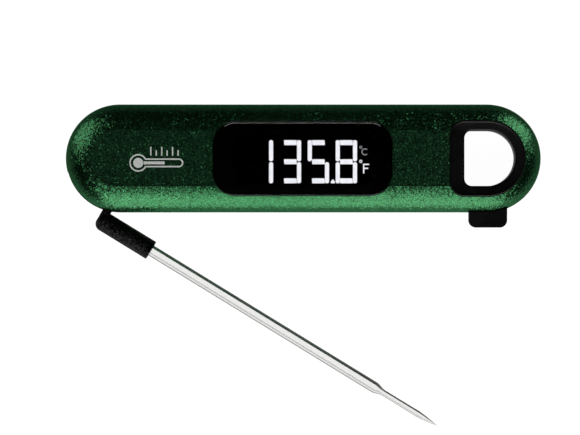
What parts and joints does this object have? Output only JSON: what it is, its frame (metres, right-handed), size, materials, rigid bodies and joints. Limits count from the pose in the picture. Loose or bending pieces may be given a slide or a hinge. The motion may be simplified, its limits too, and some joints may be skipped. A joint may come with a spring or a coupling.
{
  "type": "folding meat thermometer",
  "caption": "Pocket digital cooking thermometer with a steel probe that folds along its casing, a display window and a D-shaped hang opening.",
  "frame": {"origin": "centre of the flat back of the casing", "axes": "+X along the casing from the probe's pivot end to the hang opening, +Z out of the display, +Y from the folded probe's side to the opposite side"},
  "size_m": [0.1662, 0.1126, 0.0201],
  "materials": {
    "case_paint": "satin metallic green paint on plastic",
    "soft_black": "fine moulded texture",
    "lens_black": "gloss, dark smoked",
    "panel_glass": "dark display glass",
    "white_plastic": "white",
    "board": "solder mask",
    "chip_black": "moulded black",
    "silicone": "soft grey",
    "probe_steel": "drawn and polished",
    "pin_steel": "plain",
    "cell_steel": "nickel plated",
    "magnet": "nickel plated",
    "brass": "plain"
  },
  "bodies": {
    "housing": {"back_shell": "case_paint", "backlight_guide": "white_plastic", "backlight_led": "white_plastic", "battery_contact_negative": "brass", "battery_contact_positive": "brass", "battery_holder": "soft_black", "board_lead_1": "soft_black", "board_lead_2": "soft_black", "board_screw_1": "pin_steel", "board_screw_2": "pin_steel", "board_screw_3": "pin_steel", "board_screw_4": "pin_steel", "button_seal": "silicone", "case_screw_1": "pin_steel", "case_screw_2": "pin_steel", "case_screw_3": "pin_steel", "case_screw_4": "pin_steel", "circuit_board": "board", "coin_cell": "cell_steel", "display_frame": "soft_black", "display_lens": "lens_black", "fold_sensor": "chip_black", "friction_washer": "pin_steel", "front_shell": "case_paint", "lcd_connector_lower": "silicone", "lcd_connector_upper": "silicone", "lcd_glass": "panel_glass", "lens_seal": "silicone", "loop_liner": "soft_black", "pivot_bush_back": "brass", "pivot_bush_front": "brass", "pivot_pin": "pin_steel", "pivot_seal": "silicone", "processor_chip": "chip_black", "shell_gasket": "silicone", "tip_guard": "soft_black", "unit_switch": "chip_black"},
    "probe": {"probe_arm": "soft_black", "probe_tube": "probe_steel", "sensor_bead": "white_plastic", "probe_lead_1": "white_plastic", "probe_lead_2": "white_plastic", "fold_magnet": "magnet"},
    "unit_button": {"unit_button": "soft_black", "switch_plunger": "white_plastic"},
    "battery_door": {"battery_door": "soft_black", "battery_door_seal": "silicone"}
  },
  "joints": [
    {"name": "probe_fold", "type": "hinge", "parent": "housing", "child": "probe", "pos_m": [-0.067, -0.0156, 0.01], "axis": [0, 0, 1], "range_deg": [-148.5, 31.5]},
    {"name": "unit_button_press", "type": "slide", "parent": "housing", "child": "unit_button", "axis": [0, 0, 1], "range_m": [0, 0.0006], "stiffness_N_per_m": 1500},
    {"name": "battery_door_turn", "type": "hinge", "parent": "housing", "child": "battery_door", "pos_m": [0.028, 0, 0.001], "axis": [0, 0, -1], "range_deg": [0, 45]}
  ]
}
